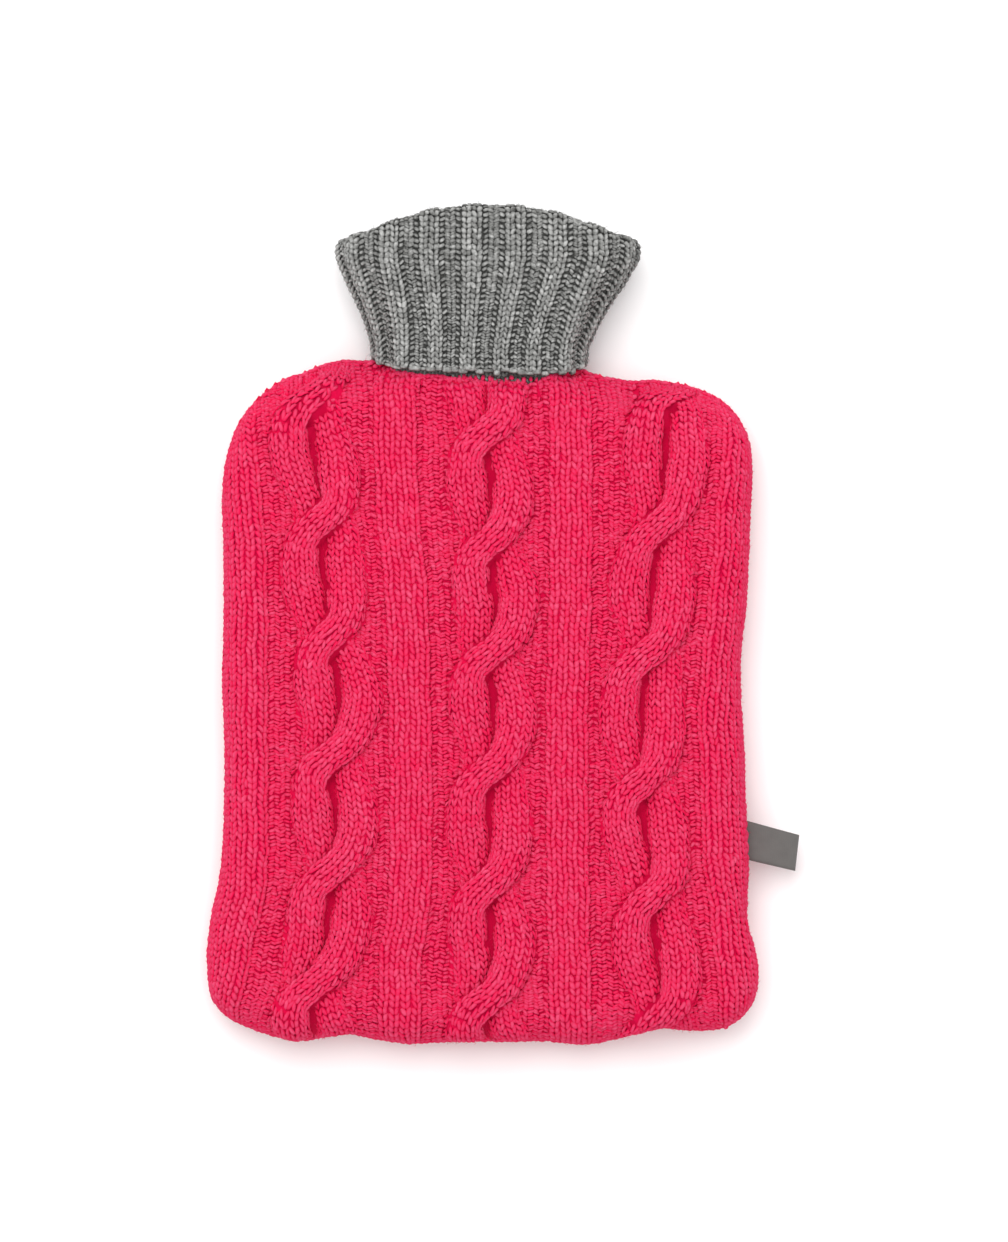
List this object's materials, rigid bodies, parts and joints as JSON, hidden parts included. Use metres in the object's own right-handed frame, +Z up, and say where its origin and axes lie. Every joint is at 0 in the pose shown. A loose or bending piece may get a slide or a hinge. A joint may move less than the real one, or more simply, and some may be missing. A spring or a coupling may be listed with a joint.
{
  "type": "hot water bottle cover",
  "caption": "Cable-knit cover for a hot water bottle, lying on its back, with a ribbed roll collar turned down and open at the neck.",
  "frame": {"origin": "on the flat underside of the back panel, in the middle of the body, where the cover rests on the surface", "axes": "+Y from the foot to the collar, +Z up out of the cabled front, +X to the side that carries the label"},
  "size_m": [0.2466, 0.351, 0.0445],
  "materials": {
    "pink_knit": "matt, softly hairy lambswool knit",
    "grey_rib": "matt marl lambswool rib",
    "label_tape": "matt fine woven tape"
  },
  "bodies": {
    "root": {"front_panel": "pink_knit", "back_panel": "pink_knit", "ribbed_collar": "grey_rib", "side_label": "label_tape"}
  },
  "joints": []
}
